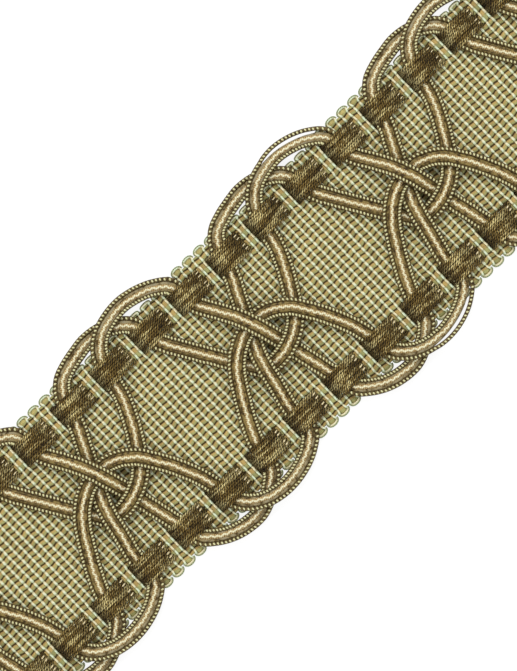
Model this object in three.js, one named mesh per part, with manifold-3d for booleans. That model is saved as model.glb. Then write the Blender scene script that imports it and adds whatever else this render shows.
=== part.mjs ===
// A cut length of wide furnishing braid, lying flat and face up.
// A ribbed ground tape is woven with small picot loops along both edges. Four flat gimp braids are
// worked back and forth over it in a row of interlaced knots, and swing out past the edges in pairs of loops.
// Along each edge a flat bundle of brown yarn floats over every gimp that crosses it, and dives under
// one rib of the ground between floats.
// The tape runs along X, its width is along Y, and its underside is the plane Z = 0.
import * as THREE from "three";
import { mergeVertices } from "three/addons/utils/BufferGeometryUtils.js";
import Module from "manifold-3d";

const wasm = await Module();
wasm.setup();

// Driving sizes, in millimetres
const REPEAT = 82.2; // length of one repeat of the knot pattern
const FLOATS_PER_REPEAT = 4;
const FLOAT_COUNT = 18; // floats along each edge of the cut length
const RIBS_PER_FLOAT = 7;
const TAPE_EDGE = 40.6; // half the width of the woven ground, without its picots
const PICOT_REACH = 2.1; // how far a picot stands out past the ground
const PICOT_WIDTH = 4.8;
const RIB_TOP = 2.2;
const RIB_VALLEY = 1.8;
const GIMP_WIDTH = 7.5;
const GIMP_THICK = 1.4;
const FLOAT_INNER = 27; // distance of a float band's inner edge from the centre line
const FLOAT_OUTER = 36.5;
const FLOAT_THICK = 0.7;
const TUNNEL_HEIGHT = 1.15; // middle of a float band where it runs inside the ground
const TIE_HALF = 0.75; // half the rib that ties a float band down between two floats
const GAP = 0.3; // clearance between pieces that touch

// Sizes that follow from them
const FLOAT_PITCH = REPEAT / FLOATS_PER_REPEAT;
const LENGTH = FLOAT_COUNT * FLOAT_PITCH;
const RIB_PITCH = FLOAT_PITCH / RIBS_PER_FLOAT;
const GIMP_BASE = RIB_TOP + GAP;
const PERIOD_REPEATS = 4; // a gimp is back in its first place after this many repeats
const PERIOD = PERIOD_REPEATS * REPEAT;

const COLOURS = { ground: 0xa09a66, gimp: 0x776444, floats: 0x4b3d25 };

// The route of one gimp, run by run. Each run lists [along, across] in mm: along from the middle of the
// knot of its own repeat, across from the centre line. The other gimps follow it one repeat behind each other.
const ROUTE = [
  {
    run: "fall", // from the upper edge down through the knot
    repeat: 0,
    points: [
      [-13.3, 32.3],
      [-11.8, 26.5],
      [-7.7, 19.3],
      [-3.9, 12.2],
      [-0.8, 4],
      [1.3, -3.6],
      [2.5, -8.6],
      [3.6, -13.8],
      [5.3, -20.8],
      [6.5, -25.9],
      [8.2, -31.5],
    ],
  },
  {
    run: "lower_back_loop",
    repeat: 0,
    points: [
      [10, -37.8],
      [13.7, -41.3],
      [18.7, -44.3],
      [24.8, -46.2],
      [32.3, -46.5],
      [38.6, -44.1],
      [43.6, -41],
      [46.6, -38],
      [48.7, -31.1],
    ],
  },
  {
    run: "arch", // up from the lower edge, over the middle and down again
    repeat: 1,
    points: [
      [-31.5, -24.7],
      [-27.9, -17.2],
      [-23.2, -9],
      [-18.7, -2.2],
      [-14.3, 2.1],
      [-8.8, 5.5],
      [-2.9, 6.9],
      [3.1, 7.2],
      [8.1, 5.4],
      [13.3, 1.4],
      [17.7, -4.9],
      [21.6, -11.9],
      [24.7, -18.9],
      [26.7, -25.4],
      [27.8, -31.6],
    ],
  },
  {
    run: "lower_front_loop",
    repeat: 1,
    points: [
      [29.5, -37.1],
      [32.9, -41.2],
      [38.1, -44.3],
      [43.8, -45.7],
      [50.2, -45.8],
      [57.2, -44.3],
      [62.8, -41.7],
      [67.2, -37.9],
      [68, -31.5],
    ],
  },
  {
    run: "climb", // from the lower edge up through the knot
    repeat: 2,
    points: [
      [-13.5, -24.7],
      [-11.3, -15.6],
      [-9.7, -8],
      [-8.1, -2.8],
      [-6.4, 1],
      [-3.4, 7.6],
      [-0.1, 14.4],
      [2.3, 19.4],
      [4.3, 23.2],
      [5.7, 26.5],
      [7.8, 32.2],
    ],
  },
  {
    run: "upper_back_loop",
    repeat: 2,
    points: [
      [9.7, 37.6],
      [13.4, 41.6],
      [18.5, 43.7],
      [24.8, 45.1],
      [30.2, 45.8],
      [37, 44.8],
      [44.2, 41],
      [46.8, 38.1],
      [48.9, 32.2],
    ],
  },
  {
    run: "cup", // hangs from the upper edge and holds the knot from below
    repeat: 3,
    points: [
      [-31.7, 26.1],
      [-28.5, 20.3],
      [-24.7, 14],
      [-20.8, 7.6],
      [-18.8, 4.3],
      [-16.1, 0.2],
      [-12.6, -5.4],
      [-9.9, -8.7],
      [-5.1, -9.6],
      [-0.7, -9.2],
      [3.6, -7.9],
      [8.1, -5.7],
      [11.4, -2.9],
      [14.1, 0.3],
      [17, 5],
      [20.4, 10.7],
      [23.5, 16.9],
      [25.7, 22.5],
      [26.7, 27],
      [28.5, 32.6],
    ],
  },
  {
    run: "upper_front_loop",
    repeat: 3,
    points: [
      [30.4, 38.3],
      [33.3, 41.7],
      [37.6, 44.4],
      [43.9, 46.2],
      [50.2, 46.6],
      [57.4, 45.1],
      [63.2, 42.5],
      [67.6, 38.9],
    ],
  },
];

// Where two runs cross, the first lies over the second.
const OVER = [
  ["fall", "arch"],
  ["fall", "climb"],
  ["arch", "climb"],
  ["arch", "cup"],
  ["climb", "cup"],
  ["cup", "fall"],
  ["upper_front_loop", "upper_back_loop"],
  ["lower_front_loop", "lower_back_loop"],
];

// The gimp's section from its left edge to its right edge: [across as a share of half the width, height as a
// share of the thickness]. A round cord runs along each edge, and a fuller pair of cords in the middle.
const SECTION_TOP = [
  [1, 0.5],
  [0.8, 0.95],
  [0.56, 0.66],
  [0, 1],
  [-0.56, 0.66],
  [-0.8, 0.95],
  [-1, 0.5],
];
const SECTION_BOTTOM = [
  [-0.8, 0],
  [0.8, 0],
];

// Rings at even steps along one period of the route: where each is, which way it heads, and on which run.
const RINGS = 126;
function walkRoute() {
  const named = ROUTE.flatMap(({ run, repeat, points }) =>
    points.map(([x, y]) => ({ run, at: new THREE.Vector3(x + repeat * REPEAT, y, 0) })),
  );
  const shifted = (by) => named.map(({ at }) => new THREE.Vector3(at.x + by, at.y, 0));
  const knots = [...shifted(-PERIOD), ...shifted(0), ...shifted(PERIOD)];
  const curve = new THREE.CatmullRomCurve3(knots, false, "centripetal");
  const spans = knots.length - 1;
  const divisions = 20; // of each span between two points, to measure its length
  curve.arcLengthDivisions = spans * divisions;
  const lengths = curve.getLengths();
  const first = lengths[named.length * divisions];
  const last = lengths[2 * named.length * divisions];
  const total = lengths[lengths.length - 1];
  const rings = [];
  for (let i = 0; i < RINGS; i++) {
    const share = (first + ((last - first) * i) / RINGS) / total;
    const at = curve.getPointAt(share);
    const heading = curve.getTangentAt(share).normalize();
    const knot = Math.floor(curve.getUtoTmapping(share) * spans) % named.length;
    rings.push({ x: at.x, y: at.y, heading, run: named[knot].run });
  }
  return rings;
}

const route = walkRoute();

// A ring of the endless route, counted on past either end of the period.
function ringAt(index) {
  const periods = Math.floor(index / RINGS);
  const ring = route[index - periods * RINGS];
  return { ...ring, x: ring.x + periods * PERIOD };
}

// A height above the ground is kept for the left edge, the middle and the right edge of the gimp at each
// ring. At a crossing the upper run is pushed up and the lower run down until they are clear, while each
// run pulls itself smooth in between, as a braid does when it is worked tight.
const LAYER = GIMP_THICK + GAP + 0.12; // from the underside of one run to the underside of the run above
const SETTLE_ROUNDS = 260;
const SAG = 0.02; // how far a run drops in one round where nothing holds it up
const FLOAT_PULL = 0.15; // the same where a float presses it onto the ground
const CLEARING_ROUNDS = 80;
const STIFFNESS = 0.4; // share of a ring's height that its two neighbours set in one round
const LEVELLING = 0.06; // share by which the two edges come back to one level in one round
const SPREAD = 0.35; // least share of a push that reaches each height of a row
const LANES = [-1, -0.75, -0.5, 0, 0.5, 0.75, 1];

function spotOn(index, part, lane) {
  const [a, b] = [ringAt(index), ringAt(index + 1)];
  const side = (lane * GIMP_WIDTH) / 2;
  return [
    THREE.MathUtils.lerp(a.x - a.heading.y * side, b.x - b.heading.y * side, part),
    THREE.MathUtils.lerp(a.y + a.heading.x * side, b.y + b.heading.x * side, part),
  ];
}

// Where a spot lies on the stretch between a ring and the next, or nothing if it lies off it.
function placeOn(index, [x, y]) {
  const [a, b] = [ringAt(index), ringAt(index + 1)];
  let dx = x - a.x;
  dx -= Math.round(dx / REPEAT) * REPEAT;
  const dy = y - a.y;
  const stretch = Math.hypot(b.x - a.x, b.y - a.y);
  const [ux, uy] = [(b.x - a.x) / stretch, (b.y - a.y) / stretch];
  const part = (dx * ux + dy * uy) / stretch;
  const lane = (dy * ux - dx * uy) / (GIMP_WIDTH / 2);
  if (part < -0.1 || part > 1.1 || Math.abs(lane) > 1.1) return undefined;
  return { index, part: THREE.MathUtils.clamp(part, 0, 1), lane: THREE.MathUtils.clamp(lane, -1, 1) };
}

function findContacts() {
  const contacts = [];
  const search = (fromRun, toRun, keep) => {
    for (let i = 0; i < RINGS; i++) {
      if (route[i].run !== fromRun) continue;
      for (const part of [0, 0.5])
        for (const lane of LANES)
          for (let k = 0; k < RINGS; k++) {
            if (route[k].run !== toRun) continue;
            const other = placeOn(k, spotOn(i, part, lane));
            if (other) keep({ index: i, part, lane }, other);
          }
    }
  };
  for (const [upper, lower] of OVER) {
    search(upper, lower, (here, there) => contacts.push({ top: here, under: there }));
    search(lower, upper, (here, there) => contacts.push({ top: there, under: here }));
  }
  return contacts;
}

// The height of one row at a lane from -1, its left edge, to 1, its right edge.
function readRow(row, lane) {
  return lane < 0 ? row[1] + (row[1] - row[0]) * lane : row[1] + (row[2] - row[1]) * lane;
}

function settleHeights() {
  const heights = route.map(() => [0, 0, 0]);
  const rowAt = (index) => heights[(index + RINGS) % RINGS];
  const read = ({ index, part, lane }) =>
    THREE.MathUtils.lerp(readRow(rowAt(index), lane), readRow(rowAt(index + 1), lane), part);
  const pushRow = (row, lane, by) => {
    const edge = lane < 0 ? 0 : 2;
    row[1] = Math.max(0, row[1] + by * Math.max(1 - Math.abs(lane), SPREAD));
    row[edge] = Math.max(0, row[edge] + by * Math.max(Math.abs(lane), SPREAD));
  };
  const push = ({ index, part, lane }, by) => {
    pushRow(rowAt(index), lane, by * (1 - part));
    pushRow(rowAt(index + 1), lane, by * part);
  };
  const contacts = findContacts();
  const clear = () => {
    for (const { top, under } of contacts) {
      const short = LAYER - (read(top) - read(under));
      if (short <= 0) continue;
      push(under, -0.3 * short);
      push(top, 0.5 * short);
    }
  };
  for (let round = 0; round < SETTLE_ROUNDS; round++) {
    const before = heights.map((row) => [...row]);
    heights.forEach((row, i) => {
      const back = before[(i + RINGS - 1) % RINGS];
      const ahead = before[(i + 1) % RINGS];
      const level = (before[i][0] + before[i][1] + before[i][2]) / 3;
      const across = Math.abs(route[i].y);
      const pull = across > FLOAT_INNER && across < FLOAT_OUTER ? FLOAT_PULL : SAG;
      for (let j = 0; j < 3; j++) {
        const smooth = (1 - STIFFNESS) * before[i][j] + (STIFFNESS / 2) * (back[j] + ahead[j]);
        row[j] = Math.max(0, (1 - LEVELLING) * smooth + LEVELLING * level - pull);
      }
    });
    clear();
  }
  for (let round = 0; round < CLEARING_ROUNDS; round++) clear();
  return heights;
}

const heights = settleHeights();

// The height of the gimp's underside above the ground at a ring and a lane.
function heightAt(index, lane) {
  return readRow(heights[((index % RINGS) + RINGS) % RINGS], lane);
}

// A closed body lofted through rings of equal count, given as arrays of [x, y, z], with a fan on each end.
function loft(rings) {
  const count = rings[0].length;
  const index = [];
  for (let r = 0; r + 1 < rings.length; r++)
    for (let i = 0; i < count; i++) {
      const a = r * count + i;
      const b = r * count + ((i + 1) % count);
      index.push(a, b, b + count, a, b + count, a + count);
    }
  const last = (rings.length - 1) * count;
  for (let i = 1; i + 1 < count; i++) {
    index.push(0, i + 1, i);
    index.push(last, last + i, last + i + 1);
  }
  const geometry = new THREE.BufferGeometry();
  geometry.setAttribute("position", new THREE.Float32BufferAttribute(rings.flat(2), 3));
  geometry.setIndex(index);
  return solidOf(geometry);
}

// Any closed three.js geometry as a solid.
function solidOf(geometry) {
  geometry.deleteAttribute("normal");
  geometry.deleteAttribute("uv");
  const merged = mergeVertices(geometry, 1e-4);
  return new wasm.Manifold(
    new wasm.Mesh({
      numProp: 3,
      vertProperties: merged.attributes.position.array,
      triVerts: new Uint32Array(merged.index.array),
    }),
  );
}

function meshOf(name, solid, colour, roughness) {
  const { vertProperties, triVerts, numProp, numVert } = solid.getMesh();
  const points = new Float32Array(numVert * 3);
  for (let i = 0; i < numVert; i++)
    points.set(vertProperties.subarray(i * numProp, i * numProp + 3), i * 3);
  const geometry = new THREE.BufferGeometry();
  geometry.setAttribute("position", new THREE.BufferAttribute(points, 3));
  geometry.setIndex(new THREE.BufferAttribute(triVerts, 1));
  geometry.computeVertexNormals();
  const mesh = new THREE.Mesh(geometry, new THREE.MeshStandardMaterial({ color: colour, roughness, metalness: 0 }));
  mesh.name = name;
  return mesh;
}

// The length that is kept, as a block that trims what runs past the two cut ends.
function cutLength() {
  const ample = REPEAT * 2;
  return solidOf(new THREE.BoxGeometry(LENGTH, ample, ample));
}

function gimpRing(index, lag) {
  const { x, y, heading } = ringAt(index);
  const half = GIMP_WIDTH / 2;
  return [...SECTION_TOP, ...SECTION_BOTTOM].map(([lane, up]) => [
    x + lag * REPEAT - heading.y * lane * half,
    y + heading.x * lane * half,
    GIMP_BASE + heightAt(index, lane) + up * GIMP_THICK,
  ]);
}

// One gimp of the four, which lags behind the first by a number of repeats.
function gimp(lag) {
  const margin = 12; // run past both cut ends before trimming
  const rings = [];
  for (let index = -2 * RINGS; index < 2 * RINGS; index++)
    if (Math.abs(ringAt(index).x + lag * REPEAT) < LENGTH / 2 + margin) rings.push(gimpRing(index, lag));
  return loft(rings).intersect(cutLength());
}

// How far the gimp under one float reaches along the tape, and the highest that it stands.
function underFloat(side, centre) {
  const found = { left: Infinity, right: -Infinity, top: 0 };
  for (let lag = 0; lag < PERIOD_REPEATS; lag++)
    for (let index = -2 * RINGS; index < 2 * RINGS; index++) {
      if (Math.abs(ringAt(index).x + lag * REPEAT - centre) > FLOAT_PITCH) continue;
      for (const part of [0, 0.25, 0.5, 0.75])
        for (const lane of LANES) {
          const [along, y] = spotOn(index, part, lane);
          const x = along + lag * REPEAT;
          if (Math.abs(x - centre) > FLOAT_PITCH / 2) continue;
          if (y * side < FLOAT_INNER - GAP || y * side > FLOAT_OUTER + GAP) continue;
          const rise = THREE.MathUtils.lerp(heightAt(index, lane), heightAt(index + 1, lane), part);
          found.left = Math.min(found.left, x);
          found.right = Math.max(found.right, x);
          found.top = Math.max(found.top, GIMP_BASE + rise + GIMP_THICK);
        }
    }
  return found;
}

// The float band's middle line along the tape, in [along, height].
const SPARE_ROOM = 0.2; // around a gimp inside its float
const SHOULDER = 0.5; // height of the slope where the band turns from its rise onto the crown
const CROWN_INSET = 1.2; // how far inside the gimp's edge the crown starts
function bandLine(side) {
  const turn = TIE_HALF + GAP + FLOAT_THICK / 2; // where the band turns up beside its tie
  const line = [];
  for (let i = 0; i < FLOAT_COUNT; i++) {
    const start = -LENGTH / 2 + i * FLOAT_PITCH;
    const end = start + FLOAT_PITCH;
    const { left, right, top } = underFloat(side, (start + end) / 2);
    const over = top + GAP + FLOAT_THICK / 2 + SPARE_ROOM;
    const rise = Math.min(start + turn, left - GAP - FLOAT_THICK / 2 - SPARE_ROOM);
    const crown = Math.max(left, rise) + CROWN_INSET;
    const landing = RIB_TOP + GAP + FLOAT_THICK;
    if (i === 0) line.push([start, TUNNEL_HEIGHT]);
    line.push([rise, TUNNEL_HEIGHT], [rise, over - SHOULDER], [crown, over], [right, over]);
    line.push([end - turn, landing], [end - turn, TUNNEL_HEIGHT]);
    if (i === FLOAT_COUNT - 1) line.push([end, TUNNEL_HEIGHT]);
  }
  return line;
}

// A band of the given thickness and width along that line, as one extruded outline.
function band(side, line, thick, spare) {
  const squareTo = (a, b) => new THREE.Vector2(a[1] - b[1], b[0] - a[0]).normalize();
  const mitreAt = (i) => {
    const before = squareTo(line[Math.max(i - 1, 0)], line[Math.max(i, 1)]);
    const after = squareTo(line[Math.min(i, line.length - 2)], line[Math.min(i + 1, line.length - 1)]);
    const mean = before.clone().add(after).normalize();
    return mean.divideScalar(Math.max(mean.dot(before), 0.5));
  };
  const edge = (sign) =>
    line.map(([x, z], i) => {
      const out = mitreAt(i).multiplyScalar((sign * thick) / 2);
      return new THREE.Vector2(x + out.x, z + out.y);
    });
  const outline = new THREE.Shape([...edge(-1), ...edge(1).reverse()]);
  const width = FLOAT_OUTER - FLOAT_INNER + 2 * spare;
  const geometry = new THREE.ExtrudeGeometry(outline, { depth: width, bevelEnabled: false });
  geometry.rotateX(Math.PI / 2); // the outline's height turns to Z, and the width runs along -Y
  const outer = side > 0 ? FLOAT_OUTER + spare : -FLOAT_INNER + spare;
  geometry.translate(0, outer, 0);
  return solidOf(geometry);
}

// The ribbed body of the ground: one outline of ribs and valleys, extruded across the tape.
function ribbedBody() {
  const ribs = FLOAT_COUNT * RIBS_PER_FLOAT;
  const outline = new THREE.Shape();
  outline.moveTo(-LENGTH / 2, 0);
  outline.lineTo(LENGTH / 2, 0);
  outline.lineTo(LENGTH / 2, RIB_TOP);
  for (let i = ribs; i > 0; i--) {
    const crest = -LENGTH / 2 + (i - 1) * RIB_PITCH;
    outline.lineTo(crest + RIB_PITCH / 2, RIB_VALLEY);
    outline.lineTo(crest, RIB_TOP);
  }
  const geometry = new THREE.ExtrudeGeometry(outline, { depth: 2 * TAPE_EDGE, bevelEnabled: false });
  geometry.rotateX(Math.PI / 2);
  geometry.translate(0, TAPE_EDGE, 0);
  return solidOf(geometry);
}

// The row of picots along one edge, as a scalloped strip. The weft turns round every second rib, so the
// picots of the two edges lie one rib apart.
const PICOT_ROOT = 1.5; // how far the strip reaches into the body
const PICOT_THICK = 1.5;
const PICOT_OUTLINE = [
  [-1, 0],
  [-0.58, 0.84],
  [0, 1],
  [0.58, 0.84],
  [1, 0],
]; // [along as a share of half its width, out as a share of its reach]
function picotStrip(side) {
  const corners = [];
  for (let rib = side > 0 ? 0 : 1; rib <= FLOAT_COUNT * RIBS_PER_FLOAT; rib += 2) {
    const centre = -LENGTH / 2 + rib * RIB_PITCH;
    for (const [along, out] of PICOT_OUTLINE)
      corners.push(new THREE.Vector2(centre + (along * PICOT_WIDTH) / 2, TAPE_EDGE + out * PICOT_REACH));
  }
  const outline = new THREE.Shape([
    new THREE.Vector2(corners[0].x, TAPE_EDGE - PICOT_ROOT),
    ...corners,
    new THREE.Vector2(corners[corners.length - 1].x, TAPE_EDGE - PICOT_ROOT),
  ]);
  const strip = solidOf(new THREE.ExtrudeGeometry(outline, { depth: PICOT_THICK, bevelEnabled: false }));
  return side > 0 ? strip : strip.mirror([0, 1, 0]);
}

function groundTape(lines) {
  let ground = ribbedBody().add(picotStrip(1)).add(picotStrip(-1)).intersect(cutLength());
  for (const side of [1, -1])
    ground = ground.subtract(band(side, extended(lines[side]), FLOAT_THICK + 2 * GAP, GAP));
  return ground;
}

// The line with its two ends drawn out, so that a tunnel opens at the cut ends.
function extended(line) {
  const [first, last] = [line[0], line[line.length - 1]];
  const beyond = 2;
  return [[first[0] - beyond, first[1]], ...line, [last[0] + beyond, last[1]]];
}

const tape = new THREE.Group();
tape.name = "trim_tape";
const lines = { 1: bandLine(1), "-1": bandLine(-1) };
tape.add(meshOf("ground_tape", groundTape(lines), COLOURS.ground, 0.85));
tape.add(meshOf("float_band_upper", band(1, lines[1], FLOAT_THICK, 0), COLOURS.floats, 0.8));
tape.add(meshOf("float_band_lower", band(-1, lines[-1], FLOAT_THICK, 0), COLOURS.floats, 0.8));
for (let lag = 0; lag < PERIOD_REPEATS; lag++)
  tape.add(meshOf(`gimp_${lag + 1}`, gimp(lag), COLOURS.gimp, 0.6));

export default tape;
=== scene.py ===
"""Looks of a cut length of furnishing braid: woven ground, picots, four gimp braids and two float bands."""

import math

import bpy
import numpy as np
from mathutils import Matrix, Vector


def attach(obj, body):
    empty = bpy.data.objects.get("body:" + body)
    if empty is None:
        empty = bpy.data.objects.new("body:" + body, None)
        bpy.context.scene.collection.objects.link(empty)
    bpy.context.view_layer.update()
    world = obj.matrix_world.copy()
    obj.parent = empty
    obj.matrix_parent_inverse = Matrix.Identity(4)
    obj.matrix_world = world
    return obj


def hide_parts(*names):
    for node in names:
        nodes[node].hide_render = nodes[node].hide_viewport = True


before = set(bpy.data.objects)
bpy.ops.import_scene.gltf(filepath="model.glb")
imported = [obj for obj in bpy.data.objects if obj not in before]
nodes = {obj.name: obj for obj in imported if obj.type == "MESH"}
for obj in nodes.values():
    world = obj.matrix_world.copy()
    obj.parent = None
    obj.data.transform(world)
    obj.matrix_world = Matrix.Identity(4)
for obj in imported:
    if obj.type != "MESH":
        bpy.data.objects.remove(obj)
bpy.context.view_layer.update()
scene = bpy.context.scene


# The camera stands straight above the tape with a long lens, turned so that the tape runs up to the
# right as in the photo. The long side of the picture covers 256 mm.
PICTURE_HEIGHT = 0.2561
PICTURE_MIDDLE = (-0.00321, 0.0021)
FACE_LEVEL = 0.003  # the height above the table at which the picture's measure holds
TURN = math.radians(-44.15)
LENS = 150
SENSOR = 36
NEAREST = 0.01
camera_data = bpy.data.cameras.new("camera")
camera_data.lens = LENS
camera_data.sensor_width = SENSOR
camera_data.clip_start = NEAREST
camera = bpy.data.objects.new("camera", camera_data)
camera.location = (*PICTURE_MIDDLE, FACE_LEVEL + PICTURE_HEIGHT * LENS / SENSOR)
camera.rotation_euler = (0, 0, TURN)
scene.collection.objects.link(camera)
scene.camera = camera


# A plain white light table, faintly lit from inside, under soft, even studio light: a bright room, one large
# lamp beyond the top edge of the picture and a weaker one beyond its lower left corner.
TABLE_HALF = 1.6
TABLE_LEVEL = -0.0001
TABLE_GLOW = 0.86
ROOM_LIGHT = 0.78
LAMPS = [
    # name, place, width, power
    ("lamp_top", (0.55, 0.75, 1.1), 0.7, 8.5),
    ("lamp_left", (-0.9, 0.1, 0.9), 0.8, 2.5),
]
SHEEN = 0.22  # the weak shine that yarn and the table top have alike
WHITE = (1, 1, 1, 1)


def colour(red, green, blue):
    """A colour given as it shows on a screen, 0 to 255, as the shader wants it."""
    shown = [channel / 255 for channel in (red, green, blue)]
    return [part / 12.92 if part <= 0.04045 else ((part + 0.055) / 1.055) ** 2.4 for part in shown] + [1.0]


def new_material(name, base, roughness):
    material = bpy.data.materials.new(name)
    material.use_nodes = True
    shader = material.node_tree.nodes["Principled BSDF"]
    shader.inputs["Base Color"].default_value = base
    shader.inputs["Roughness"].default_value = roughness
    shader.inputs["Specular IOR Level"].default_value = SHEEN
    return material, shader


def lamp(name, place, width, power):
    """A round lamp that points at the middle of the tape."""
    data = bpy.data.lights.new(name, "AREA")
    data.shape = "DISK"
    data.size = width
    data.energy = power
    made = bpy.data.objects.new(name, data)
    made.location = place
    made.rotation_euler = (-Vector(place)).to_track_quat("-Z", "Y").to_euler()
    scene.collection.objects.link(made)


floor_mesh = bpy.data.meshes.new("floor")
corner_ways = ((-1, -1), (1, -1), (1, 1), (-1, 1))
floor_corners = [(x * TABLE_HALF, y * TABLE_HALF, TABLE_LEVEL) for x, y in corner_ways]
floor_mesh.from_pydata(floor_corners, [], [(0, 1, 2, 3)])
floor = bpy.data.objects.new("floor", floor_mesh)
scene.collection.objects.link(floor)
floor_material, floor_shader = new_material("floor_white", colour(120, 120, 119), 0.9)
floor_shader.inputs["Emission Color"].default_value = WHITE
floor_shader.inputs["Emission Strength"].default_value = TABLE_GLOW
floor_mesh.materials.append(floor_material)
for name, place, width, power in LAMPS:
    lamp(name, place, width, power)
world = bpy.data.worlds.new("room")
world.use_nodes = True
world.node_tree.nodes["Background"].inputs["Color"].default_value = WHITE
world.node_tree.nodes["Background"].inputs["Strength"].default_value = ROOM_LIGHT
scene.world = world
scene.view_settings.view_transform = "Standard"


# The four gimps. Each is a flat braid with a beaded cord along each edge, a soft satin cord inside each of
# those, and a wavy cream thread on a tan bed along the middle. The four follow one route, one repeat behind
# each other, and the solids under them give the height at every crossing.
REPEAT = 82.2
LENGTH = 369.9
HALF_LENGTH = LENGTH / 2
PERIOD_REPEATS = 4
ROUTE = [
    # run, repeat, [along from the middle of its knot, across from the centre line] in mm
    ("fall", 0, [
        (-13.3, 32.3), (-11.8, 26.5), (-7.7, 19.3), (-3.9, 12.2), (-0.8, 4), (1.3, -3.6),
        (2.5, -8.6), (3.6, -13.8), (5.3, -20.8), (6.5, -25.9), (8.2, -31.5),
    ]),
    ("lower_back_loop", 0, [
        (10, -37.8), (13.7, -41.3), (18.7, -44.3), (24.8, -46.2), (32.3, -46.5), (38.6, -44.1),
        (43.6, -41), (46.6, -38), (48.7, -31.1),
    ]),
    ("arch", 1, [
        (-31.5, -24.7), (-27.9, -17.2), (-23.2, -9), (-18.7, -2.2), (-14.3, 2.1), (-8.8, 5.5),
        (-2.9, 6.9), (3.1, 7.2), (8.1, 5.4), (13.3, 1.4), (17.7, -4.9), (21.6, -11.9),
        (24.7, -18.9), (26.7, -25.4), (27.8, -31.6),
    ]),
    ("lower_front_loop", 1, [
        (29.5, -37.1), (32.9, -41.2), (38.1, -44.3), (43.8, -45.7), (50.2, -45.8), (57.2, -44.3),
        (62.8, -41.7), (67.2, -37.9), (68, -31.5),
    ]),
    ("climb", 2, [
        (-13.5, -24.7), (-11.3, -15.6), (-9.7, -8), (-8.1, -2.8), (-6.4, 1), (-3.4, 7.6),
        (-0.1, 14.4), (2.3, 19.4), (4.3, 23.2), (5.7, 26.5), (7.8, 32.2),
    ]),
    ("upper_back_loop", 2, [
        (9.7, 37.6), (13.4, 41.6), (18.5, 43.7), (24.8, 45.1), (30.2, 45.8), (37, 44.8),
        (44.2, 41), (46.8, 38.1), (48.9, 32.2),
    ]),
    ("cup", 3, [
        (-31.7, 26.1), (-28.5, 20.3), (-24.7, 14), (-20.8, 7.6), (-18.8, 4.3), (-16.1, 0.2),
        (-12.6, -5.4), (-9.9, -8.7), (-5.1, -9.6), (-0.7, -9.2), (3.6, -7.9), (8.1, -5.7),
        (11.4, -2.9), (14.1, 0.3), (17, 5), (20.4, 10.7), (23.5, 16.9), (25.7, 22.5),
        (26.7, 27), (28.5, 32.6),
    ]),
    ("upper_front_loop", 3, [
        (30.4, 38.3), (33.3, 41.7), (37.6, 44.4), (43.9, 46.2), (50.2, 46.6), (57.4, 45.1),
        (63.2, 42.5), (67.6, 38.9),
    ]),
]
SPLINE_STEPS = 12
ROUTE_STEP = 0.5
OVERRUN = 6  # how far the route is kept beyond a cut end, so that a cord reaches it everywhere
LANE = 2.6  # how far left and right of the middle a gimp's height is measured as well
LEVEL_REACH = 3.0
ABOVE_ALL = 0.05  # where the rays that measure the solids start, in metres
BELOW_ALL = -0.01

BEAD_CORD_OFFSET = 2.88
BEAD_CORD_WIDTH = 1.75
BEAD_CORD_THICK = 1.5
BEAD_SPACING = 1.42
BEAD_SPREAD = math.radians(36)  # how far a bead thread reaches down each flank of its cord
BEAD_TAPER = [0.5, 0.92, 1.0, 0.92, 0.5]
BEAD_LONG = 0.88
BEAD_HIGH = 0.5
BEAD_SLANT = 0.16
BEAD_UNEVEN = 0.08
SATIN_OFFSET = 1.25
SATIN_WIDTH = 1.8
SATIN_THICK = 0.95
SATIN_STEP = 1.0
CORE_WIDTH = 0.84
CORE_LIFT = 0.22
CORE_STEP = 0.46
BED_WIDTH = 2.1
BED_THICK = 0.6
BED_SINK = 0.3
WAVE_LENGTH = 2.4
WAVE_HEIGHT = 0.29
WAVE_STRAY = 0.8  # how unevenly the waves follow one another, as an angle
SWAY = 0.1
SWAY_UNEVEN = 0.16
INTO_LOOP = (36, 42)  # how far out a gimp comes off the ground, and where it is wholly in its loop
LOOP_START = 37  # how far out a gimp starts to bend round a loop, and where it is well into the bend
LOOP_BENT = 42
LOOP_NARROWING = 0.65  # how much nearer the middle the beaded cord on the inside of that bend lies
LOOP_REACH = 6
# Where the outer beaded cord of two loops has come away from the rest: gimp, side, start and end along.
SPLIT_CORDS = [(2, 1, 43.5, 69), (4, -1, 42.5, 67.5)]
SPLIT_SHIFT = 0.6
chance = np.random.default_rng(7)


def smooth_line(points, steps):
    """A centripetal spline through the points, with a number of steps from each to the next."""
    gaps = np.sqrt(np.linalg.norm(np.diff(points, axis=0), axis=1))[:, None]
    before, here, there, after = points[:-3], points[1:-2], points[2:-1], points[3:]
    gap_before, gap, gap_after = gaps[:-2], gaps[1:-1], gaps[2:]
    leave = (here - before) / gap_before - (there - before) / (gap_before + gap) + (there - here) / gap
    reach = (there - here) / gap - (after - here) / (gap + gap_after) + (after - there) / gap_after
    here, there, leave, reach = (part[:, None, :] for part in (here, there, leave * gap, reach * gap))
    bend = -3 * here + 3 * there - 2 * leave - reach
    curl = 2 * here - 2 * there + leave + reach
    share = np.linspace(0, 1, steps, endpoint=False)[None, :, None]
    return (here + leave * share + bend * share**2 + curl * share**3).reshape(-1, points.shape[1])


def even_steps(line, step):
    """The same line with its points evenly spaced, and how far along it each of them lies."""
    run = np.concatenate([[0], np.cumsum(np.linalg.norm(np.diff(line, axis=0), axis=1))])
    marks = np.linspace(0, run[-1], max(2, round(run[-1] / step) + 1))
    return np.stack([np.interp(marks, run, values) for values in line.T], 1), marks


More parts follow.
